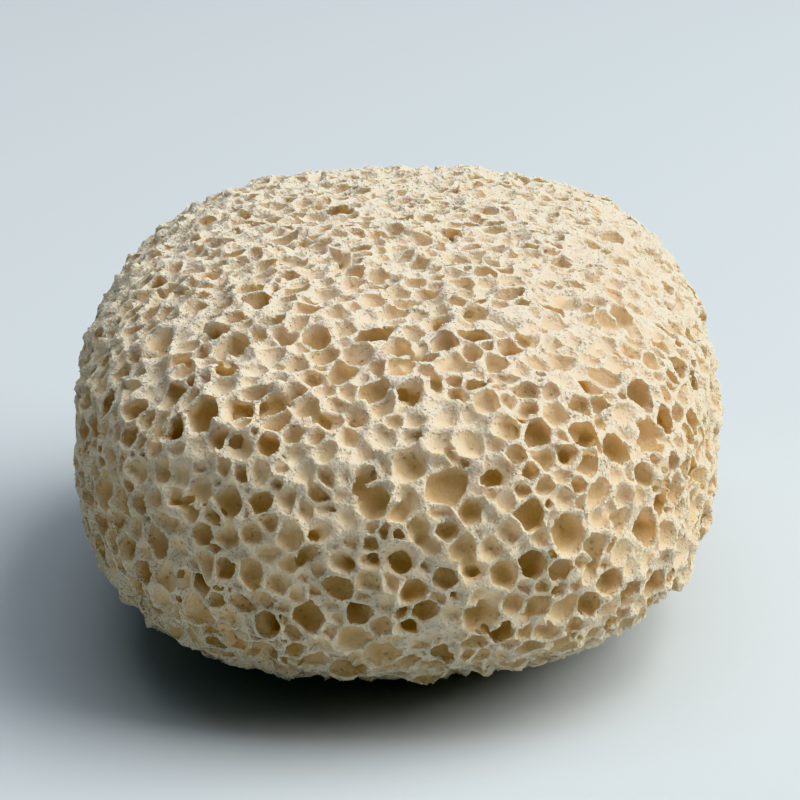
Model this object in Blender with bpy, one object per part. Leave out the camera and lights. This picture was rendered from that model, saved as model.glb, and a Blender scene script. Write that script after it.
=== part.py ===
"""A hand-sized pumice stone: one block of frothy rock, rounded all over, with open bubbles on every side.

Metres, +Z up. The length runs along Y and the width along X. The origin is under the middle of the stone,
on the surface that it lies on.
"""

import math
import random

import bmesh
import bpy
import numpy as np
from mathutils import Vector, kdtree, noise

MM = 0.001

# The block. The powers say how square it is: 2 would be an ellipsoid, and more is boxier.
LENGTH = 94 * MM
WIDTH = 60 * MM
HEIGHT = 37 * MM
PLAN_POWER = 2.57
SIDE_POWER = 2.68
WORN_OFF = 0.5 * MM  # how much of the underside is ground away, which leaves a flat patch to lie on

# The froth.
BUBBLE_SEED = 11
BUBBLE_TRIES = 40000
BUBBLE_SIZES = (  # width of the bubbles, and how many of them are looked for, widest first
    (5.2 * MM, 20),
    (4.5 * MM, 50),
    (3.9 * MM, 110),
    (3.3 * MM, 230),
    (2.8 * MM, 400),
    (2.3 * MM, 700),
)
DEPTH_SHARE = (0.34, 0.62)  # least and greatest depth of a bubble, as shares of its width
BOWL_WIDTH = 3.9 * MM  # a bubble at least this wide is a bowl with a wall, and a narrower one is a plain dent
BOWL_WALL = 0.24  # how far a bowl's wall reaches in over its floor, as a share of the bubble's width
BOWL_WALL_DEPTH = 0.7  # how deep the wall's foot lies, as a share of the bubble's depth
RESTING_LAND = 7.0 * MM  # width of the unbroken land in the middle of the underside
ANGLE_SLACK = 0.001  # radians past a half turn before the net's edge between two bubbles is turned about

# The rims between the bubbles stand a little high or low.
RIM_UNEVENNESS = 0.35 * MM
RIM_PATCH = 4.0 * MM
RIM_FADE = 3.0 * MM  # height above the underside over which the unevenness sets in

# The clearest bubbles of the front end: how far right of the middle, how high, and how wide, in millimetres.
FRONT_BUBBLES_MM = (
    (-23.0, 27.5, 2.4),
    (-21.0, 25.5, 2.3),
    (-20.5, 28.0, 2.5),
    (-19.0, 17.5, 2.6),
    (-17.0, 26.5, 2.6),
    (-14.5, 25.5, 2.0),
    (-12.0, 32.5, 2.4),
    (-11.5, 23.0, 2.0),
    (-9.0, 23.5, 2.3),
    (-8.5, 27.0, 2.2),
    (-8.5, 31.5, 2.4),
    (-6.0, 31.5, 2.6),
    (-5.5, 29.5, 2.7),
    (-3.5, 13.0, 2.5),
    (-3.0, 33.5, 3.4),
    (-2.5, 27.0, 2.4),
    (-1.0, 28.5, 2.7),
    (0.5, 18.5, 3.4),
    (0.5, 22.5, 2.5),
    (2.0, 29.5, 2.5),
    (3.5, 31.5, 2.4),
    (4.5, 24.5, 3.8),
    (4.5, 29.5, 2.3),
    (6.5, 22.0, 2.3),
    (7.0, 31.5, 2.2),
    (7.0, 34.0, 2.9),
    (8.5, 25.5, 3.4),
    (9.5, 23.0, 2.4),
    (10.0, 13.5, 2.4),
    (11.5, 21.5, 2.8),
    (13.0, 10.0, 3.0),
    (14.5, 22.5, 2.3),
    (14.5, 26.0, 2.3),
    (14.5, 31.0, 3.5),
    (17.0, 32.0, 2.6),
    (19.5, 19.0, 3.0),
    (22.0, 14.5, 3.0),
)

ROCK_COLOUR = (0.74, 0.67, 0.53, 1.0)
ROCK_ROUGHNESS = 0.95

HALF_SIZES = np.array((WIDTH, LENGTH, HEIGHT + WORN_OFF)) / 2
MIDDLE = np.array((0.0, 0.0, HALF_SIZES[2] - WORN_OFF))


def clear_scene():
    for old in list(bpy.data.objects):
        bpy.data.objects.remove(old)


def onto_block(points):
    """Moves points straight out from the block's middle, or in towards it, until they lie on its skin."""
    spread = np.asarray(points, float) - MIDDLE
    x, y, z = np.abs(spread / HALF_SIZES).T
    level = (x**PLAN_POWER + y**PLAN_POWER) ** (SIDE_POWER / PLAN_POWER) + z**SIDE_POWER
    return MIDDLE + spread / (level ** (1 / SIDE_POWER))[:, None]


def front_point(x, z):
    """The point of the block's front end that lies at x and at height z."""
    across = abs(x / HALF_SIZES[0]) ** PLAN_POWER
    up = abs((z - MIDDLE[2]) / HALF_SIZES[2]) ** SIDE_POWER
    forward = (1 - up) ** (PLAN_POWER / SIDE_POWER) - across
    return np.array((x, -HALF_SIZES[1] * forward ** (1 / PLAN_POWER), z))


def scatter_bubbles():
    """Middles and widths of all the bubbles, the first of which is the resting land.

    Each new bubble has to clear the ones before it, so the small ones settle in the gaps between the wide ones.
    """
    random_source = np.random.default_rng(BUBBLE_SEED)
    middles = [np.zeros(3)] + [front_point(x * MM, z * MM) for x, z, _ in FRONT_BUBBLES_MM]
    widths = [RESTING_LAND] + [width * MM for _, _, width in FRONT_BUBBLES_MM]
    for width, wanted in BUBBLE_SIZES:
        tries = onto_block(MIDDLE + random_source.normal(size=(BUBBLE_TRIES, 3)) * HALF_SIZES)
        found = 0
        for place in tries:
            room = np.linalg.norm(np.array(middles) - place, axis=1) - (np.array(widths) + width) / 2
            if room.min() > 0:
                middles.append(place)
                widths.append(width)
                found += 1
            if found == wanted:
                break
    return np.array(middles), np.array(widths)


def facing_angle(edge, face):
    """The angle of a triangle's corner that lies across from one of its edges."""
    corner = next(loop for loop in face.loops if loop.vert not in edge.verts)
    return corner.calc_angle()


def even_out(net):
    """Turns edges about until each joins the two nearer of the four corners round it."""
    turned = True
    while turned:
        turned = False
        for edge in list(net.edges):
            if not edge.is_valid:
                continue
            if sum(facing_angle(edge, face) for face in edge.link_faces) > math.pi + ANGLE_SLACK:
                turned = bmesh.utils.edge_rotate(edge) is not None or turned


def net_over(middles):
    """An object whose triangles join each bubble's middle to those around it."""
    net = bmesh.new()
    for spread in (middles - MIDDLE) / HALF_SIZES:
        net.verts.new(Vector(spread).normalized())
    bmesh.ops.convex_hull(net, input=net.verts)
    net.verts.ensure_lookup_table()
    for corner, middle in zip(net.verts, middles):
        corner.co = middle
    even_out(net)
    mesh = bpy.data.meshes.new("bubble_net")
    net.to_mesh(mesh)
    net.free()
    return bpy.data.objects.new("bubble_net", mesh)


def dual_mesh_tree():
    """A Geometry Nodes tree that swaps a mesh's corners and faces."""
    tree = bpy.data.node_groups.new("cells_from_net", "GeometryNodeTree")
    tree.interface.new_socket("Geometry", in_out="INPUT", socket_type="NodeSocketGeometry")
    tree.interface.new_socket("Geometry", in_out="OUTPUT", socket_type="NodeSocketGeometry")
    start = tree.nodes.new("NodeGroupInput")
    dual = tree.nodes.new("GeometryNodeDualMesh")
    end = tree.nodes.new("NodeGroupOutput")
    tree.links.new(start.outputs[0], dual.inputs["Mesh"])
    tree.links.new(dual.outputs[0], end.inputs[0])
    return tree


def cells_from(net):
    """A bmesh with one many-sided cell for each corner of the net, which is removed."""
    bpy.context.scene.collection.objects.link(net)
    net.modifiers.new("cells", "NODES").node_group = dual_mesh_tree()
    evaluated = net.evaluated_get(bpy.context.evaluated_depsgraph_get())
    cells = bmesh.new()
    cells.from_mesh(evaluated.to_mesh())
    evaluated.to_mesh_clear()
    bpy.data.objects.remove(net)
    bmesh.ops.recalc_face_normals(cells, faces=cells.faces)
    return cells


def settle_rims(cells):
    """Puts the cells' corners on the block, lets them stand uneven, and grinds the lowest ones flat."""
    corners = onto_block([corner.co for corner in cells.verts])
    for corner, place in zip(cells.verts, corners):
        out = Vector(place - MIDDLE).normalized()
        fade = min(max(place[2] / RIM_FADE, 0), 1)
        lift = noise.noise(Vector(place) / RIM_PATCH) * RIM_UNEVENNESS * fade
        corner.co = Vector(place) + out * lift
        corner.co.z = max(corner.co.z, 0)


def sink_bubbles(cells, middles, widths):
    """Pushes each cell's floor into the block: a bowl where it is wide, and a dent where it is narrow."""
    depth_source = random.Random(BUBBLE_SEED)
    finder = kdtree.KDTree(len(middles))
    for number, middle in enumerate(middles):
        finder.insert(middle, number)
    finder.balance()
    for cell in list(cells.faces):
        number = finder.find(cell.calc_center_median())[1]
        if number == 0:  # the resting land
            continue
        width = widths[number]
        depth = width * depth_source.uniform(*DEPTH_SHARE)
        floor_drop = depth
        if width >= BOWL_WIDTH:
            wall_drop = depth * BOWL_WALL_DEPTH
            bmesh.ops.inset_individual(
                cells, faces=[cell], thickness=width * BOWL_WALL, depth=-wall_drop, use_even_offset=True
            )
            floor_drop = depth - wall_drop
        bmesh.ops.poke(cells, faces=[cell], offset=-floor_drop)
    bmesh.ops.triangulate(cells, faces=cells.faces)


def rock_material():
    rock = bpy.data.materials.new("pumice")
    rock.use_nodes = True
    shader = rock.node_tree.nodes["Principled BSDF"]
    shader.inputs["Base Color"].default_value = ROCK_COLOUR
    shader.inputs["Roughness"].default_value = ROCK_ROUGHNESS
    shader.inputs["Metallic"].default_value = 0.0
    return rock


def build_stone():
    middles, widths = scatter_bubbles()
    cells = cells_from(net_over(middles))
    settle_rims(cells)
    sink_bubbles(cells, middles, widths)
    mesh = bpy.data.meshes.new("pumice_stone")
    cells.to_mesh(mesh)
    cells.free()
    mesh.materials.append(rock_material())
    stone = bpy.data.objects.new("pumice_stone", mesh)
    collection = bpy.data.collections.new("pumice stone")
    bpy.context.scene.collection.children.link(collection)
    collection.objects.link(stone)
    return stone


clear_scene()
build_stone()
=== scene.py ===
"""The looks of the pumice stone: its froth, the crumbs on its rims, its rock, and the stage.

Laid out as an add-on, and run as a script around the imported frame.
"""

import math

import bpy
import numpy as np
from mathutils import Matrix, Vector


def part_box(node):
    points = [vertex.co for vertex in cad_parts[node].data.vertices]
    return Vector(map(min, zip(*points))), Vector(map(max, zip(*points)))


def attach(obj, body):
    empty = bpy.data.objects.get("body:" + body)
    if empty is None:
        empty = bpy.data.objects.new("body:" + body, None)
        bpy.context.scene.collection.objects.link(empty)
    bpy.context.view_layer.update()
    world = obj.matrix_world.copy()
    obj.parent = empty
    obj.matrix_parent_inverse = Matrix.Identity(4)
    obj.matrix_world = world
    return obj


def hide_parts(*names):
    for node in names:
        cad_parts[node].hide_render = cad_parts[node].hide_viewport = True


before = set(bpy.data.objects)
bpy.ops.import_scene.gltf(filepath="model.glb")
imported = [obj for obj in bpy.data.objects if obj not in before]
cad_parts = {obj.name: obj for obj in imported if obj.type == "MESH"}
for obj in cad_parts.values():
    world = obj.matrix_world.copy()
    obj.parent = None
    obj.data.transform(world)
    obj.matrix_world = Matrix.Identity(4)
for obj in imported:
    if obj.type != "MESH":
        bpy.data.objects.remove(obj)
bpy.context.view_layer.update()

import openvdb
from bpy.props import FloatProperty, FloatVectorProperty, IntProperty, PointerProperty
from bpy.types import Operator, Panel, PropertyGroup
from mathutils import Matrix, Vector

bl_info = {
    "name": "Pumice stone",
    "version": (1, 0, 0),
    "blender": (4, 5, 0),
    "location": "View3D > Sidebar > Pumice",
    "description": "Builds a block of frothy pumice with open bubbles, and a stage for it",
    "category": "Add Mesh",
}

# The froth is worked out in millimetres, and its meshes are made in metres.
MM = 0.001
BOX_LOW, BOX_HIGH = (np.array(corner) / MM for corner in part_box("pumice_stone"))
SIZE = BOX_HIGH - BOX_LOW

# The clearest bubbles of the front end: how far right of the middle, how high and how wide, in millimetres,
# and how far the bubble's own middle lies below the skin, as a share of half its mouth.
FRONT_BUBBLES = (
    (-23.0, 27.5, 2.4, 0.6),
    (-21.0, 25.5, 2.3, 0.2),
    (-20.5, 28.0, 2.5, 0.3),
    (-19.0, 17.5, 2.6, 0.0),
    (-17.0, 26.5, 2.6, -0.3),
    (-14.5, 25.5, 2.0, 0.5),
    (-12.0, 32.5, 2.4, 0.0),
    (-11.5, 23.0, 2.0, 0.8),
    (-9.0, 23.5, 2.3, 0.3),
    (-8.5, 27.0, 2.2, 0.2),
    (-8.5, 31.5, 2.4, 0.2),
    (-6.5, 24.0, 1.9, 0.6),
    (-6.0, 31.5, 2.6, 0.3),
    (-5.5, 29.5, 2.7, 0.0),
    (-4.5, 24.0, 1.5, 0.4),
    (-3.5, 13.0, 2.5, 0.7),
    (-3.0, 33.5, 3.4, 0.2),
    (-2.5, 27.0, 2.4, 0.1),
    (-2.0, 20.0, 1.8, 0.7),
    (-1.0, 28.5, 2.7, -0.1),
    (0.5, 18.5, 3.4, -0.4),
    (0.5, 22.5, 2.5, 0.3),
    (2.0, 29.5, 2.5, -0.1),
    (3.5, 31.5, 2.4, 0.0),
    (4.5, 24.5, 3.8, 0.5),
    (4.5, 29.5, 2.3, 0.1),
    (6.5, 22.0, 2.3, 0.6),
    (7.0, 31.5, 2.2, 0.6),
    (7.0, 34.0, 2.9, 0.5),
    (8.5, 25.5, 3.4, -0.4),
    (9.5, 23.0, 2.4, 0.0),
    (10.0, 13.5, 2.4, 0.5),
    (11.5, 21.5, 2.8, 0.7),
    (11.5, 25.0, 2.0, 0.5),
    (13.0, 10.0, 3.0, 0.2),
    (14.5, 22.5, 2.3, 0.2),
    (14.5, 26.0, 2.3, 0.4),
    (14.5, 31.0, 3.5, -0.4),
    (17.0, 32.0, 2.6, 0.2),
    (19.5, 19.0, 3.0, 0.2),
    (20.0, 26.5, 1.8, 0.5),
    (22.0, 14.5, 3.0, 0.0),
    (23.0, 21.0, 1.8, 0.6),
)
# They are listed as wide as their rims, and this share of that is the mouth.
FRONT_MOUTH = 0.91
# How strongly painted shade darkens the inside of one that is cut through its middle, and how much more so
# as it sinks by half its mouth.
FRONT_SHADE = 0.4
FRONT_SHADE_DEEPER = 0.8

# All the lengths below are in millimetres too.
# How snugly the bubbles crowd: the room that one needs, as a share of its half width. How far below the skin
# its middle lies, as a share of the same: the middle of the spread, the spread, the least and the most.
CROWDING = (0.72, 0.9)
SINK = (0.34, 0.3, -0.25, 1.0)
# The same for the small bubbles that fill a gap: how far they outgrow it, and how far they sink.
GAP_FILLING = (1.05, 1.35)
GAP_SINK = (0.1, 0.8)
GAP_WIDEST = 2.0
# The bubbles that broke into an open one: their share of its width, how deep they cut into it, how narrow
# the open one may be, and how straight inward they lie against how far they stray.
JOINED_SHARE = (0.4, 0.75)
JOINED_APART = (0.0, 0.5)
JOINED_FROM = 1.3
JOINED_INWARD = 0.7
JOINED_STRAY = 0.6

# Distances from a bubble's wall are kept up to this one, and worked out up to the other.
REACH = 1.2
BUBBLE_REACH = 0.9
# The rock is carved from this deep below the skin to this far above it.
CARVED = (-1.5, 1.0)
# Noise on the height of the rims: the width of its patches, its share of the change, and its seed.
RIM_NOISE = ((3.6, 0.5, 1), (1.3, 0.35, 2), (0.6, 0.4, 4))
# Noise that pushes the bubbles out of round: the same.
WARP_NOISE = ((2.3, 1.0, 11), (0.9, 0.35, 16))
# Noise on the saddles, the walls and the nibbled rims: the width of its patches, and its seed.
SADDLE_NOISE = (2.6, 6)
WALL_NOISE = (0.9, 3)
RAGGED_NOISE = (0.6, 7)
# A wall up to the first of these is worn most, and one that is thicker by the second isn't worn.
THIN_WALL = 0.15
THIN_WALL_FADE = 0.75
SADDLE_SHARE = 0.6
# The nibbling fades out this far below the skin.
RAGGED_DEPTH = 0.8
# Near the ground the rims keep to the flat that the stone rests on, over this height.
RESTING_FADE = 2.5


def length(name, description, millimetres):
    return FloatProperty(name=name, description=description, default=millimetres * MM, subtype="DISTANCE")


def number(name, description, value):
    return FloatProperty(name=name, description=description, default=value)


def count(name, description, value):
    return IntProperty(name=name, description=description, default=value)


def power(name, description, watts):
    return FloatProperty(name=name, description=description, default=watts, unit="POWER")


def angle(name, description, degrees):
    return FloatProperty(name=name, description=description, default=math.radians(degrees), subtype="ANGLE")


def colour(name, description, value):
    return FloatVectorProperty(name=name, description=description, default=value, subtype="COLOR")


class BlockSettings(PropertyGroup):
    plan_power: number("Plan squareness", "2 is an ellipse from above, and more is boxier", 2.57)
    side_power: number("Side squareness", "2 is an ellipse from the side, and more is boxier", 2.68)
    worn_off: length("Worn off", "Height ground away from the underside", 0.5)


class FrothSettings(PropertyGroup):
    seed: count("Seed", "Another number gives another froth", 5)
    voxel: length("Voxel", "Grain of the grid that is carved", 0.25)
    middling_width: length("Middling width", "Width that most bubbles are near", 1.6)
    narrowest: length("Narrowest", "Least width of a bubble that isn't in a gap", 1.0)
    widest: length("Widest", "Most width of a bubble", 3.6)
    width_spread: number("Width spread", "Spread of the logarithm of the widths", 0.25)
    open_bubbles: count("Open bubbles", "How many bubbles are tried", 6000)
    small_width: length("Small width", "Least width of a gap that gets a bubble", 0.7)
    joined_bubbles: count("Joined bubbles", "How many broke into an open one", 1400)
    wall: length("Wall", "Thickness of the wall between two bubbles", 0.33)
    wall_change: length("Wall change", "How uneven the walls are", 0.12)
    saddle: length("Saddle", "How far a thin wall's rim is worn down between two thick ones", 0.7)
    rim_change: length("Rim change", "How high and low the rims stand", 0.32)
    ragged: length("Ragged", "How far the rims are nibbled", 0.2)
    warp: length("Warp", "How far the bubbles are pushed out of round", 0.36)
    triangles: count("Triangles", "As many as the froth may have", 196000)
    crease: angle("Crease", "An edge that turns by more than this looks sharp", 55)


class CrumbSettings(PropertyGroup):
    seed: count("Seed", "Another number scatters the crumbs elsewhere", 3)
    handfuls: count("Handfuls", "How many pieces the crumbs are made in", 3)
    density: number("Density", "Crumbs of a handful on a square millimetre of rim", 2.0)
    width: length("Width", "Width of the widest crumb", 0.34)
    narrowness: number("Narrowness", "Least share of that width", 0.25)
    bare_depth: length("Bare depth", "Depth below the rims where there are no more crumbs", 0.7)


class RockSettings(PropertyGroup):
    rim: colour("Rim", "Colour of the worn rims", (0.73, 0.632, 0.468))
    # Warmer than the rims: painted warm bounce light inside the bubbles.
    wall: colour("Wall", "Colour of a bubble's wall", (0.80, 0.64, 0.415))
    # Darker still: painted shade deep in the bubbles.
    floor: colour("Floor", "Colour deep in a bubble", (0.63, 0.458, 0.25))
    # Painted shade: the dark colour in the fine pores, which are only dents in the bump.
    pore: colour("Pore", "Colour of the pores", (0.44, 0.35, 0.22))
    # Pale colour of the sugary grain all over, and painted light: the top is painted paler, as where it is
    # lit brightest.
    grain_and_lit_top: colour("Lit_top_and_grain", "Colour of the dust on top", (0.78, 0.72, 0.615))
    cloud_width: length("Cloud width", "Width of the paler and darker clouds", 2.2)
    patch_width: length("Patch width", "Width of the patches that have pores", 3.5)
    pore_width: length("Pore width", "Distance from one pore to the next", 0.55)
    grain_width: length("Grain width", "Width of the sugary grain", 0.3)
    grain_height: length("Grain height", "Height of the sugary grain", 0.3)
    glow: number("Glow", "Share of the light that shines through the walls", 0.5)
    glow_reach: length("Glow reach", "How far light shines through", 1.0)
    glow_tint: colour("Glow tint", "How far each colour shines through", (1.0, 0.6, 0.3))


class StageSettings(PropertyGroup):
    floor: colour("Floor", "Colour of the floor", (0.52, 0.575, 0.61))
    warm: colour("Warm", "Colour of the lamp on the right", (1.0, 0.97, 0.92))
    cool: colour("Cool", "Colour of the other light", (0.88, 0.94, 1.0))
    key_power: power("Key power", "Power of the lamp on the right", 18.5)
    key_azimuth: angle("Key azimuth", "How far round from the front the lamp stands", 86)
    key_elevation: angle("Key elevation", "How high the lamp stands", 44)
    key_distance: length("Key distance", "How far off the lamp stands", 970)
    key_width: length("Key width", "Width of the lamp", 1100)
    fill_power: power("Fill power", "Power of the lamp overhead", 6.5)
    fill_distance: length("Fill distance", "How high the lamp overhead hangs", 1200)
    fill_width: length("Fill width", "Width of the lamp overhead", 1200)
    sky: number("Sky", "Strength of the light from all round", 0.16)
    view_azimuth: angle("View azimuth", "How far round from the front the camera stands", 0.67)
    view_elevation: angle("View elevation", "How high the camera stands", 16)
    view_roll: angle("View roll", "How far the camera leans", -1.06)
    view_distance: length("View distance", "How far off the camera stands", 400)


# The picture's width, the lens's focal length and the picture's shift, all in the picture's pixels.
PICTURE_WIDTH_PX = 800
FOCAL_LENGTH_PX = 4227
SHIFT_PX = (0.9, 3.5)


# ---------------------------------------------------------------- the block and its bubbles


def sample(grid, places):
    """The value of a grid at each place, blended between its cells. The grid repeats past its end."""
    corner = np.floor(places).astype(np.int32)
    blend = (places - corner).astype(np.float32)
    total = np.zeros(len(places), np.float32)
    for step in np.ndindex(2, 2, 2):
        share = np.prod(np.where(step, blend, 1 - blend), axis=1)
        x, y, z = ((corner + step) % grid.shape).T
        total += share * grid[x, y, z]
    return total


def noise_at(points, patch, seed, cells=61):
    """Smooth noise from -1 to 1 at each point, whose patches have the given width."""
    lattice = np.random.default_rng(seed).uniform(-1, 1, (cells,) * 3).astype(np.float32)
    places = points / patch
    part = places % 1
    return sample(lattice, places - part + part * part * (3 - 2 * part))


class Block:
    """The smooth block that the froth is cut from, in millimetres."""

    def __init__(self, settings):
        self.plan_power = settings.plan_power
        self.side_power = settings.side_power
        self.half = np.array((SIZE[0], SIZE[1], SIZE[2] + settings.worn_off / MM)) / 2
        self.middle = (BOX_LOW + BOX_HIGH) / 2
        self.middle[2] = BOX_HIGH[2] - self.half[2]
        self.base = BOX_LOW[2]

    def level(self, x, y, z):
        """How far out a place lies: 0 in the middle and 1 on the skin."""
        across = np.abs((x - self.middle[0]) / self.half[0]) ** self.plan_power
        along = np.abs((y - self.middle[1]) / self.half[1]) ** self.plan_power
        up = np.abs((z - self.middle[2]) / self.half[2]) ** self.side_power
        return ((across + along) ** (self.side_power / self.plan_power) + up) ** (1 / self.side_power)

    def slope(self, points, step=0.05):
        """The gradient of the level at each point."""
        columns = []
        for axis in range(3):
            ahead, behind = points.copy(), points.copy()
            ahead[:, axis] += step
            behind[:, axis] -= step
            columns.append((self.level(*ahead.T) - self.level(*behind.T)) / (2 * step))
        return np.stack(columns, axis=1)

    def distance(self, points):
        """Distance outside the skin, and negative inside."""
        away = (self.level(*points.T) - 1) / np.linalg.norm(self.slope(points), axis=1)
        return np.maximum(away, self.base - points[:, 2])

    def normals(self, points, flat=0.02):
        """The way out of the block at each point of its skin, which is straight down where it rests."""
        slope = self.slope(points)
        normals = slope / np.linalg.norm(slope, axis=1)[:, None]
        normals[points[:, 2] < self.base + flat] = (0, 0, -1)
        return normals

    def skin_places(self, wanted, random_source, shell=0.25, level_shell=0.05, tries_at_once=400000):
        """Places spread evenly over the skin: random ones in a thin shell around it, brought onto it."""
        found = []
        while sum(map(len, found)) < wanted:
            tries = random_source.uniform(BOX_LOW - 1, BOX_HIGH + 1, (tries_at_once, 3))
            tries = tries[np.abs(self.level(*tries.T) - 1) < level_shell]
            away = self.distance(tries)
            near = np.abs(away) < shell
            tries, away = tries[near], away[near]
            found.append(tries - self.normals(tries) * away[:, None])
        places = np.concatenate(found)[:wanted]
        places[:, 2] = np.maximum(places[:, 2], self.base)
        return places

    def front_place(self, x, z):
        """The place on the front end at x and at height z."""
        across = abs((x - self.middle[0]) / self.half[0]) ** self.plan_power
        up = abs((z - self.middle[2]) / self.half[2]) ** self.side_power
        forward = (1 - up) ** (self.plan_power / self.side_power) - across
        return np.array((x, self.middle[1] - self.half[1] * forward ** (1 / self.plan_power), z))


class Room:
    """Places where a bubble could go, and how far each is from the bubbles that are already there."""

    def __init__(self, places):
        self.places = places.astype(np.float32)
        self.free = np.full(len(places), np.inf, np.float32)

    def fill(self, place, radius):
        apart = self.places - np.asarray(place, np.float32)
        np.minimum(self.free, np.sqrt(np.einsum("ij,ij->i", apart, apart)) - radius, out=self.free)

    def snug(self, radius, random_source, looks=12):
        """The number of a place with just room enough, or None."""
        fits = np.flatnonzero(self.free > radius)
        if not len(fits):
            return None
        fits = random_source.choice(fits, looks)
        return fits[np.argmin(self.free[fits])]


class Bubbles:
    """The middles and radii of many bubbles, and a number from 0 to 1 for each that darkens its inside: a
    random tone, or painted shade where the bubble lies deeper.
    """

    def __init__(self):
        self.middles, self.radii, self.stains_and_shades = [], [], []

    def add(self, middle, radius, stain_and_shade):
        self.middles.append(middle)
        self.radii.append(radius)
        self.stains_and_shades.append(stain_and_shade)

    def add_cut(self, place, normal, width, sink, stain_and_shade):
        """A bubble whose mouth in the skin has the given width, and whose middle lies below it."""
        half = width / 2
        self.add(place - normal * half * sink, half * math.hypot(1, sink), stain_and_shade)

    def each(self):
        return zip(self.middles, self.radii, self.stains_and_shades)


def open_bubbles(block, settings, random_source, places=60000):
    """Bubbles that the skin cuts: the front's own, then wide to narrow ones, then those in the gaps."""
    bubbles = Bubbles()
    room = Room(block.skin_places(places, random_source))
    normals = block.normals(room.places.astype(float))
    for x, z, width, sink in FRONT_BUBBLES:
        place = block.front_place(x, z)
        mouth = width * FRONT_MOUTH
        # A front bubble's number is painted shade: the deeper it sinks, the darker its inside is painted.
        stain_and_shade = min(FRONT_SHADE + sink * FRONT_SHADE_DEEPER, 1)
        bubbles.add_cut(place, block.normals(place[None])[0], mouth, sink, stain_and_shade)
        room.fill(place, mouth / 2)
    middling = math.log(settings.middling_width / MM)
    widths = random_source.lognormal(middling, settings.width_spread, settings.open_bubbles)
    widths = np.clip(widths, settings.narrowest / MM, settings.widest / MM)
    for width in sorted(widths, reverse=True):
        number = room.snug(width / 2 * random_source.uniform(*CROWDING), random_source)
        if number is None:
            continue
        sink = np.clip(random_source.normal(*SINK[:2]), *SINK[2:])
        bubbles.add_cut(room.places[number], normals[number], width, sink, random_source.uniform())
        room.fill(room.places[number], width / 2)
    while room.free.max() > settings.small_width / MM / 2:
        number = int(room.free.argmax())
        width = min(2 * room.free[number], GAP_WIDEST) * random_source.uniform(*GAP_FILLING)
        sink = random_source.uniform(*GAP_SINK)
        bubbles.add_cut(room.places[number], normals[number], width, sink, random_source.uniform())
        room.fill(room.places[number], width / 2)
    return bubbles


def joined_bubbles(block, settings, random_source, bubbles):
    """Smaller bubbles that broke through the wall or the floor of an open one."""
    joined = Bubbles()
    middles, radii = np.array(bubbles.middles), np.array(bubbles.radii)
    inward = -block.normals(middles)
    wide = np.flatnonzero(radii > JOINED_FROM / 2)
    for number in random_source.choice(wide, settings.joined_bubbles):
        way = inward[number] * JOINED_INWARD + random_source.normal(0, JOINED_STRAY, 3)
        way /= np.linalg.norm(way)
        radius = radii[number] * random_source.uniform(*JOINED_SHARE)
        apart = radii[number] + radius * random_source.uniform(*JOINED_APART)
        # A joined bubble gets full painted shade, so these holes are painted darkest.
        joined.add(middles[number] + way * apart, radius, 1.0)
    return joined


# ---------------------------------------------------------------- the froth


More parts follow.
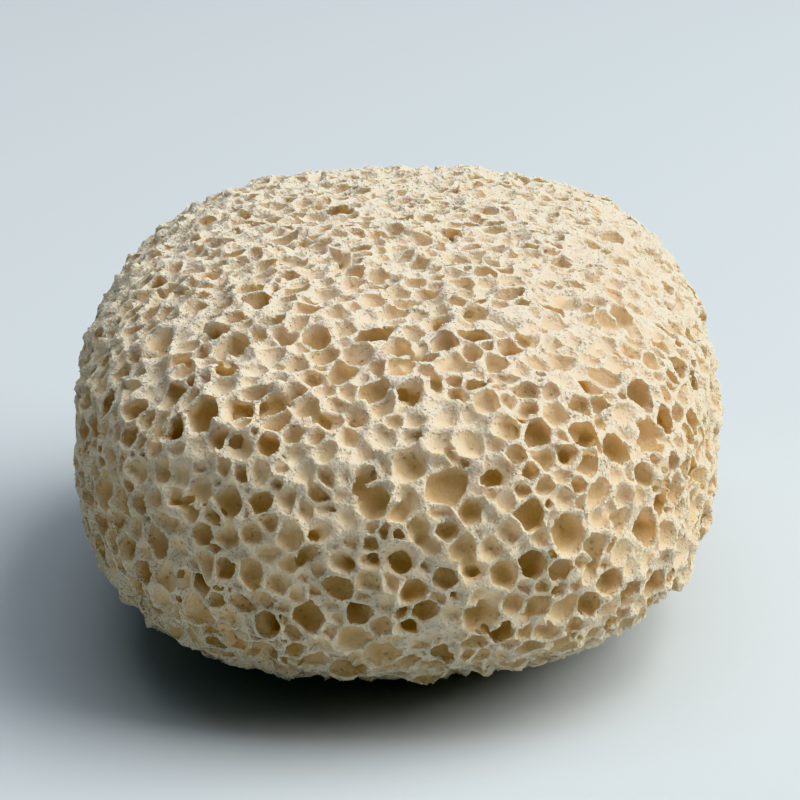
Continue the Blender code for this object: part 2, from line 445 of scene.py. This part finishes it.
class Carving:
    """A grid of distances over the block, negative in the rock, with the nearest bubble's number for random
    tone and painted shade.
    """

    def __init__(self, block, settings):
        self.block = block
        self.step = settings.voxel / MM
        margin = 4 * self.step
        self.corner = BOX_LOW - margin
        counts = np.ceil((BOX_HIGH + margin - self.corner) / self.step).astype(int) + 1
        axes = (self.corner[i] + self.step * np.arange(counts[i]) for i in range(3))
        self.axes = [axis.astype(np.float32) for axis in axes]
        # How far each place is from the nearest bubble, the second nearest and the nearest joined one.
        self.nearest = np.full(counts, REACH, np.float32)
        self.second = self.nearest.copy()
        self.joined = self.nearest.copy()
        self.stain_and_shade = np.zeros(counts, np.float32)

    def around(self, middle, radius):
        """The part of the grid around a bubble, and its distances from the bubble's wall."""
        reach = radius + BUBBLE_REACH
        low = np.maximum(np.floor((middle - reach - self.corner) / self.step).astype(int), 0)
        high = np.ceil((middle + reach - self.corner) / self.step).astype(int) + 1
        high = np.minimum(high, self.nearest.shape)
        part = tuple(slice(a, max(a, b)) for a, b in zip(low, high))
        x, y, z = ((self.axes[i][part[i]] - middle[i]) ** 2 for i in range(3))
        return part, np.sqrt(x[:, None, None] + y[None, :, None] + z).astype(np.float32) - np.float32(radius)

    def blow(self, bubbles, joined):
        for middle, radius, stain_and_shade in bubbles.each():
            part, away = self.around(middle, radius)
            nearest, second = self.nearest[part], self.second[part]
            np.copyto(self.stain_and_shade[part], np.float32(stain_and_shade), where=away < nearest)
            np.minimum(second, np.maximum(nearest, away), out=second)
            np.minimum(nearest, away, out=nearest)
        for middle, radius, stain_and_shade in joined.each():
            part, away = self.around(middle, radius)
            np.copyto(self.stain_and_shade[part], np.float32(stain_and_shade), where=away < self.step)
            np.minimum(self.joined[part], away, out=self.joined[part])

    def cut_out(self, settings):
        """Works out the rock: what is under the worn skin and in no bubble, with a wall between bubbles."""
        x, y, z = self.axes
        level = self.block.level(x[:, None, None], y[None, :, None], z).astype(np.float32)
        slope = np.sqrt(sum(part**2 for part in np.gradient(level, self.step)))
        skin = (level - 1) / np.maximum(slope, 1e-4)
        near = (self.nearest < REACH) | (self.joined < REACH) | (skin > CARVED[0])
        band = np.nonzero(near & (skin < CARVED[1]))
        points = np.stack([self.axes[i][band[i]] for i in range(3)], axis=1)
        nearest, second, joined = self.nearest[band], self.second[band], self.joined[band]
        fade = np.clip((points[:, 2] - self.block.base) / RESTING_FADE, 0, 1)

        rough = sum(noise_at(points, patch, seed) * share for patch, share, seed in RIM_NOISE)
        thin = 1 - np.clip((nearest + second - THIN_WALL) / THIN_WALL_FADE, 0, 1)
        saddles = thin * np.clip(SADDLE_SHARE + noise_at(points, *SADDLE_NOISE), 0, 1)
        worn = (settings.rim_change * rough + settings.saddle * saddles) / MM * fade
        outside = np.maximum(skin[band] + worn, self.block.base - points[:, 2])

        wall = (settings.wall + settings.wall_change * noise_at(points, *WALL_NOISE)) / MM
        hollow = np.minimum(np.maximum(nearest, wall - (second - nearest)), joined)
        at_rim = np.clip(1 + outside / RAGGED_DEPTH, 0, 1) * fade
        hollow += settings.ragged / MM * noise_at(points, *RAGGED_NOISE) * at_rim

        self.outside = np.full(level.shape, REACH, np.float32)
        self.outside[band] = outside
        self.field = np.where(skin > 0, np.float32(REACH), np.float32(-REACH))
        self.field[band] = np.clip(np.maximum(outside, -hollow), -REACH, REACH)

    def surface(self):
        """The rock's surface: its corners in millimetres, its faces, and each corner's number for random
        tone and painted shade, and its depth.
        """
        grid = openvdb.FloatGrid(REACH)
        grid.copyFromArray(self.field)
        places, _, quads = grid.convertToPolygons(isovalue=0.0, adaptivity=0.0)
        kept = biggest_shell(len(places), quads)
        quads = (np.cumsum(kept) - 1)[quads[kept[quads[:, 0]]]]
        places = places[kept]
        points = places * self.step + self.corner
        return points, quads, sample(self.stain_and_shade, places), -sample(self.outside, places)


def biggest_shell(count, quads):
    """True for each corner on the shell with the most corners: the outside, and all that opens on it."""
    label = np.arange(count)
    ends = np.concatenate([quads[:, (0, 1)], quads[:, (1, 2)], quads[:, (2, 3)]])
    while True:
        lower = np.minimum(label[ends[:, 0]], label[ends[:, 1]])
        before = label.copy()
        np.minimum.at(label, ends[:, 0], lower)
        np.minimum.at(label, ends[:, 1], lower)
        label = label[label]
        if (label == before).all():
            return label == np.bincount(label).argmax()


def warped(points, settings, base):
    """The points pushed about smoothly, and less so near the ground."""
    pushes = []
    for axis in range(3):
        noises = (noise_at(points, patch, seed + axis) * share for patch, share, seed in WARP_NOISE)
        pushes.append(sum(noises))
    fade = np.clip((points[:, 2:] - base) / RESTING_FADE, 0, 1)
    return points + np.stack(pushes, axis=1) * settings.warp / MM * fade


def add_mesh(name, points, faces):
    mesh = bpy.data.meshes.new(name)
    mesh.from_pydata(points.tolist(), [], faces.tolist())
    piece = bpy.data.objects.new(name, mesh)
    bpy.context.scene.collection.objects.link(piece)
    return piece


def store(mesh, name, values):
    """Keeps one number for each corner of a mesh, for its rock and its crumbs to read."""
    mesh.attributes.new(name, "FLOAT", "POINT").data.foreach_set("value", values.astype(np.float32))


def flatten(piece):
    """Replaces an object's mesh with what its modifiers make of it."""
    result = bpy.data.meshes.new_from_object(piece.evaluated_get(bpy.context.evaluated_depsgraph_get()))
    piece.modifiers.clear()
    old = piece.data
    piece.data = result
    bpy.data.meshes.remove(old)
    result.name = piece.name


class PUMICE_OT_froth(Operator):
    """Cuts the bubbles into the block and makes its froth a closed mesh"""

    bl_idname = "pumice.froth"
    bl_label = "Make the froth"

    def execute(self, context):
        settings = context.scene.pumice_froth
        block = Block(context.scene.pumice_block)
        random_source = np.random.default_rng(settings.seed)
        bubbles = open_bubbles(block, settings, random_source)
        joined = joined_bubbles(block, settings, random_source, bubbles)
        carving = Carving(block, settings)
        carving.blow(bubbles, joined)
        carving.cut_out(settings)
        points, quads, stain_and_shade, depth = carving.surface()
        if not len(quads):
            raise RuntimeError("The bubbles left no rock")
        piece = add_mesh("pumice_froth", warped(points, settings, block.base) * MM, quads)
        store(piece.data, "stain_and_shade", stain_and_shade)
        store(piece.data, "depth", depth)
        thin = piece.modifiers.new("thin", "DECIMATE")
        thin.ratio = min(settings.triangles / (2 * len(quads)), 1)
        flatten(piece)
        piece.data.shade_smooth()
        piece.data.set_sharp_from_angle(angle=settings.crease)
        piece.data.materials.append(rock_material(context.scene.pumice_rock))
        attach(piece, "root")
        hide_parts("pumice_stone")
        return {"FINISHED"}


# ---------------------------------------------------------------- nodes


class Wire:
    """A node's output, so that nodes are joined by plain calls and their maths is written with operators."""

    def __init__(self, tree, socket=None):
        self.tree, self.socket = tree, socket

    def node(self, kind, settings=None, inputs=None, output=0):
        """Any node: its settings come first, then its inputs, which are values or other wires."""
        node = self.tree.nodes.new(kind)
        for name, value in (settings or {}).items():
            setattr(node, name, value)
        for name, value in (inputs or {}).items():
            self.feed(node.inputs[name], value)
        return Wire(self.tree, node.outputs[output])

    def feed(self, socket, value):
        if isinstance(value, Wire):
            self.tree.links.new(value.socket, socket)
        else:
            socket.default_value = value

    def maths(self, operation, first, second):
        return self.node("ShaderNodeMath", {"operation": operation}, {0: first, 1: second})

    def __add__(self, other):
        return self.maths("ADD", self, other)

    __radd__ = __add__

    def __sub__(self, other):
        return self.maths("SUBTRACT", self, other)

    def __rsub__(self, other):
        return self.maths("SUBTRACT", other, self)

    def __mul__(self, other):
        return self.maths("MULTIPLY", self, other)

    __rmul__ = __mul__

    def between(self, low, high):
        """0 at low, 1 at high, and smooth in between."""
        inputs = {"Value": self, "From Min": low, "From Max": high}
        return self.node("ShaderNodeMapRange", {"interpolation_type": "SMOOTHSTEP"}, inputs)

    def mix(self, first, second):
        """The first colour where this is 0 and the second where it is 1."""
        inputs = {0: self, 6: first, 7: second}
        return self.node("ShaderNodeMix", {"data_type": "RGBA"}, inputs, output=2)


def opaque(value):
    return (*value, 1.0)


# ---------------------------------------------------------------- the crumbs


# The crumbs begin to thin out at this depth below the worn skin, in millimetres.
CRUMBS_THIN_FROM = 0.1
# Each handful takes this many seeds: one for where its crumbs lie, and one for their shares of the width.
SEEDS_A_HANDFUL = 2


def crumb_tree():
    """Geometry Nodes that scatter crumbs over the rims of the froth, and its inputs' identifiers by name."""
    tree = bpy.data.node_groups.new("crumbs", "GeometryNodeTree")
    kinds = {
        "Froth": "NodeSocketGeometry",
        "Density": "NodeSocketFloat",
        "Width": "NodeSocketFloat",
        "Narrowness": "NodeSocketFloat",
        "Bare depth": "NodeSocketFloat",
        "Seed": "NodeSocketInt",
        "Rock": "NodeSocketMaterial",
    }
    inputs = {}
    for name, kind in kinds.items():
        inputs[name] = tree.interface.new_socket(name, in_out="INPUT", socket_type=kind).identifier
    tree.interface.new_socket("Crumbs", in_out="OUTPUT", socket_type="NodeSocketGeometry")
    make = Wire(tree).node

    def given(name):
        return make("NodeGroupInput", output=name)

    depth = make("GeometryNodeInputNamedAttribute", {"data_type": "FLOAT"}, {"Name": "depth"}, "Attribute")
    density = (1 - depth.between(CRUMBS_THIN_FROM, given("Bare depth"))) * given("Density")
    spots = {"Mesh": given("Froth"), "Density": density, "Seed": given("Seed")}
    points = make("GeometryNodeDistributePointsOnFaces", {}, spots, "Points")
    crumb = make("GeometryNodeMeshUVSphere", {}, {"Segments": 4, "Rings": 2, "Radius": 0.5}, "Mesh")
    whole_turn = {"Max": (math.tau,) * 3, "Seed": given("Seed")}
    turn = make("FunctionNodeRandomValue", {"data_type": "FLOAT_VECTOR"}, whole_turn, "Value")
    shares = {"Min": given("Narrowness"), "Max": (1.0,) * 3, "Seed": given("Seed") + 1}
    girth = make("FunctionNodeRandomValue", {"data_type": "FLOAT_VECTOR"}, shares, "Value")
    size = make("ShaderNodeVectorMath", {"operation": "SCALE"}, {0: girth, "Scale": given("Width")})
    crumbs = {"Points": points, "Instance": crumb, "Rotation": turn, "Scale": size}
    placed = make("GeometryNodeInstanceOnPoints", {}, crumbs)
    real = make("GeometryNodeRealizeInstances", {}, {"Geometry": placed})
    painted = make("GeometryNodeSetMaterial", {}, {"Geometry": real, "Material": given("Rock")})
    painted.feed(tree.nodes.new("NodeGroupOutput").inputs["Crumbs"], painted)
    return tree, inputs


class PUMICE_OT_crumbs(Operator):
    """Scatters crumbs over the worn rims"""

    bl_idname = "pumice.crumbs"
    bl_label = "Scatter the crumbs"

    def execute(self, context):
        settings = context.scene.pumice_crumbs
        froth = bpy.data.objects.get("pumice_froth")
        if froth is None:
            raise RuntimeError("The crumbs need the froth: make it first")
        tree, inputs = crumb_tree()
        for handful in range(settings.handfuls):
            piece = bpy.data.objects.new(f"rim_crumbs_{handful + 1}", froth.data.copy())
            context.scene.collection.objects.link(piece)
            scatter = piece.modifiers.new("crumbs", "NODES")
            scatter.node_group = tree
            scatter[inputs["Density"]] = settings.density / MM**2
            scatter[inputs["Width"]] = settings.width
            scatter[inputs["Narrowness"]] = settings.narrowness
            scatter[inputs["Bare depth"]] = settings.bare_depth / MM
            scatter[inputs["Seed"]] = settings.seed + SEEDS_A_HANDFUL * handful
            scatter[inputs["Rock"]] = froth.data.materials[0]
            flatten(piece)
            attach(piece, "root")
        return {"FINISHED"}


# ---------------------------------------------------------------- the rock


# How deep below the worn skin, in millimetres, the rims turn into walls and the walls into floors, painted
# warm bounce light and painted shade, and how high up the stone, as a share of its height, the top starts to
# be painted
# paler as lit: where each begins and where it is full.
WALL_DEPTH = (0.05, 0.8)
FLOOR_DEPTH = (0.5, 2.0)
LIT_TOP_HEIGHT = (0.62, 1.1)
# The values of a pattern at which it begins and is full.
PORE_EDGE = (0.12, 0.34)
PATCH_EDGE = (0.45, 0.7)
GRAIN_EDGE = (0.35, 0.75)
# How far each pattern hides the colour under it.
PORE_SHARE = 0.5
GRAIN_SHARE = 0.2
LIT_TOP_SHARE = 0.6


def rock_material(settings):
    """Pale worn rims; walls and floors painted warmer and darker with depth as bounce light and shade; the
    top painted paler as lit; painted shade in fine pores; and a sugary grain.
    """
    rock = bpy.data.materials.new("pumice")
    rock.use_nodes = True
    shader = rock.node_tree.nodes["Principled BSDF"]
    make = Wire(rock.node_tree).node
    place = make("ShaderNodeTexCoord", output="Object")
    depth = make("ShaderNodeAttribute", {"attribute_name": "depth"}, output="Fac")
    stain_and_shade = make("ShaderNodeAttribute", {"attribute_name": "stain_and_shade"}, output="Fac")
    height = make("ShaderNodeSeparateXYZ", {}, {"Vector": place}, "Z")

    def noise(width, detail=4.0):
        return make("ShaderNodeTexNoise", {}, {"Vector": place, "Scale": 1 / width, "Detail": detail}, "Fac")

    cloud = noise(settings.cloud_width)
    grain = noise(settings.grain_width, 6.0)
    cells = make("ShaderNodeTexVoronoi", {}, {"Vector": place, "Scale": 1 / settings.pore_width}, "Distance")
    pore = (1 - cells.between(*PORE_EDGE)) * noise(settings.patch_width).between(*PATCH_EDGE)
    # Painted warm bounce light: below the rims the walls turn warmer with depth.
    inside = (depth + cloud * 0.4 - 0.2).between(*WALL_DEPTH)
    # Painted shade: deeper still the floors turn darker, sooner for a bubble with a higher number, which is
    # a random tone or painted shade of its own.
    deep = (depth * (0.55 + stain_and_shade * 0.75) + cloud * 0.7 - 0.35).between(*FLOOR_DEPTH)
    top = SIZE[2] * MM
    starts, full = (share * top for share in LIT_TOP_HEIGHT)
    # Painted light: the stone is painted paler towards the top, as where it is lit brightest, but less so
    # deep in a bubble.
    painted_lit_top = (height + cloud * (0.2 * top)).between(starts, full) * (1 - deep * 0.7)

    colour = inside.mix(opaque(settings.rim), opaque(settings.wall))
    colour = deep.mix(colour, opaque(settings.floor))
    # Painted shade in the fine pores.
    colour = (pore * PORE_SHARE).mix(colour, opaque(settings.pore))
    colour = (grain.between(*GRAIN_EDGE) * GRAIN_SHARE).mix(colour, opaque(settings.grain_and_lit_top))
    colour = (painted_lit_top * LIT_TOP_SHARE).mix(colour, opaque(settings.grain_and_lit_top))
    relief = grain * (1.25 - inside) - pore * 0.6
    bump = make("ShaderNodeBump", {}, {"Height": relief, "Distance": settings.grain_height}, "Normal")

    place.feed(shader.inputs["Base Color"], colour)
    place.feed(shader.inputs["Normal"], bump)
    shader.inputs["Roughness"].default_value = 0.95
    shader.inputs["Specular IOR Level"].default_value = 0.25
    shader.inputs["Subsurface Weight"].default_value = settings.glow
    shader.inputs["Subsurface Radius"].default_value = settings.glow_tint
    shader.inputs["Subsurface Scale"].default_value = settings.glow_reach
    return rock


# ---------------------------------------------------------------- the stage


def outward(azimuth, elevation):
    """The way to a place round the stone: the azimuth runs from the front to the right."""
    level = math.cos(elevation)
    return Vector((math.sin(azimuth) * level, -math.cos(azimuth) * level, math.sin(elevation)))


def add_lamp(name, place, aim, width, power, tint):
    light = bpy.data.lights.new(name, "AREA")
    light.size = width
    light.energy = power
    light.color = tint
    lamp = bpy.data.objects.new(name, light)
    lamp.location = place
    lamp.rotation_euler = (aim - place).to_track_quat("-Z", "Y").to_euler()
    bpy.context.scene.collection.objects.link(lamp)


def add_floor(tint):
    bpy.ops.mesh.primitive_plane_add(size=6)
    floor = bpy.context.object
    floor.name = "floor"
    material = bpy.data.materials.new("floor")
    material.use_nodes = True
    shader = material.node_tree.nodes["Principled BSDF"]
    shader.inputs["Base Color"].default_value = opaque(tint)
    shader.inputs["Roughness"].default_value = 0.9
    shader.inputs["Specular IOR Level"].default_value = 0.1
    floor.data.materials.append(material)


def add_sky(tint, strength):
    world = bpy.data.worlds.new("studio")
    bpy.context.scene.world = world
    world.use_nodes = True
    background = world.node_tree.nodes["Background"]
    background.inputs["Color"].default_value = opaque(tint)
    background.inputs["Strength"].default_value = strength


def add_camera(settings, aim):
    camera = bpy.data.cameras.new("camera")
    camera.lens = FOCAL_LENGTH_PX / PICTURE_WIDTH_PX * camera.sensor_width
    camera.shift_x, camera.shift_y = (shift / PICTURE_WIDTH_PX for shift in SHIFT_PX)
    camera.clip_start = 0.01
    view = bpy.data.objects.new("camera", camera)
    back = outward(settings.view_azimuth, settings.view_elevation)
    view.location = aim + back * settings.view_distance
    turn = (-back).to_track_quat("-Z", "Y").to_matrix() @ Matrix.Rotation(settings.view_roll, 3, "Z")
    view.rotation_euler = turn.to_euler()
    bpy.context.scene.collection.objects.link(view)
    bpy.context.scene.camera = view


class PUMICE_OT_stage(Operator):
    """Adds the floor, the light and the camera"""

    bl_idname = "pumice.stage"
    bl_label = "Set the stage"

    def execute(self, context):
        settings = context.scene.pumice_stage
        aim = Vector((0, 0, SIZE[2] / 2 * MM))
        key = aim + outward(settings.key_azimuth, settings.key_elevation) * settings.key_distance
        fill = aim + Vector((0, 0, settings.fill_distance))
        add_floor(settings.floor)
        add_sky(settings.cool, settings.sky)
        add_lamp("key", key, aim, settings.key_width, settings.key_power, settings.warm)
        add_lamp("fill", fill, aim, settings.fill_width, settings.fill_power, settings.cool)
        add_camera(settings, aim)
        # This view keeps plain colours as they are, and only rolls off the brightest.
        context.scene.view_settings.view_transform = "Khronos PBR Neutral"
        return {"FINISHED"}


# ---------------------------------------------------------------- the add-on


class PUMICE_PT_pieces(Panel):
    """Lists the pieces with their settings"""

    bl_idname = "PUMICE_PT_pieces"
    bl_label = "Pumice stone"
    bl_space_type = "VIEW_3D"
    bl_region_type = "UI"
    bl_category = "Pumice"

    def draw(self, context):
        for operator, groups in PIECES.items():
            box = self.layout.box()
            for group in groups:
                settings = getattr(context.scene, group)
                for name in SETTINGS[group].__annotations__:
                    box.prop(settings, name)
            box.operator(operator)


SETTINGS = {
    "pumice_block": BlockSettings,
    "pumice_froth": FrothSettings,
    "pumice_crumbs": CrumbSettings,
    "pumice_rock": RockSettings,
    "pumice_stage": StageSettings,
}
PIECES = {
    "pumice.froth": ("pumice_block", "pumice_froth", "pumice_rock"),
    "pumice.crumbs": ("pumice_crumbs",),
    "pumice.stage": ("pumice_stage",),
}
CLASSES = (*SETTINGS.values(), PUMICE_OT_froth, PUMICE_OT_crumbs, PUMICE_OT_stage, PUMICE_PT_pieces)


def register():
    for kind in CLASSES:
        bpy.utils.register_class(kind)
    for name, kind in SETTINGS.items():
        setattr(bpy.types.Scene, name, PointerProperty(type=kind))


def unregister():
    for name in SETTINGS:
        delattr(bpy.types.Scene, name)
    for kind in reversed(CLASSES):
        bpy.utils.unregister_class(kind)


def main():
    register()
    bpy.ops.pumice.froth()
    bpy.ops.pumice.crumbs()
    bpy.ops.pumice.stage()


if __name__ == "__main__":
    main()
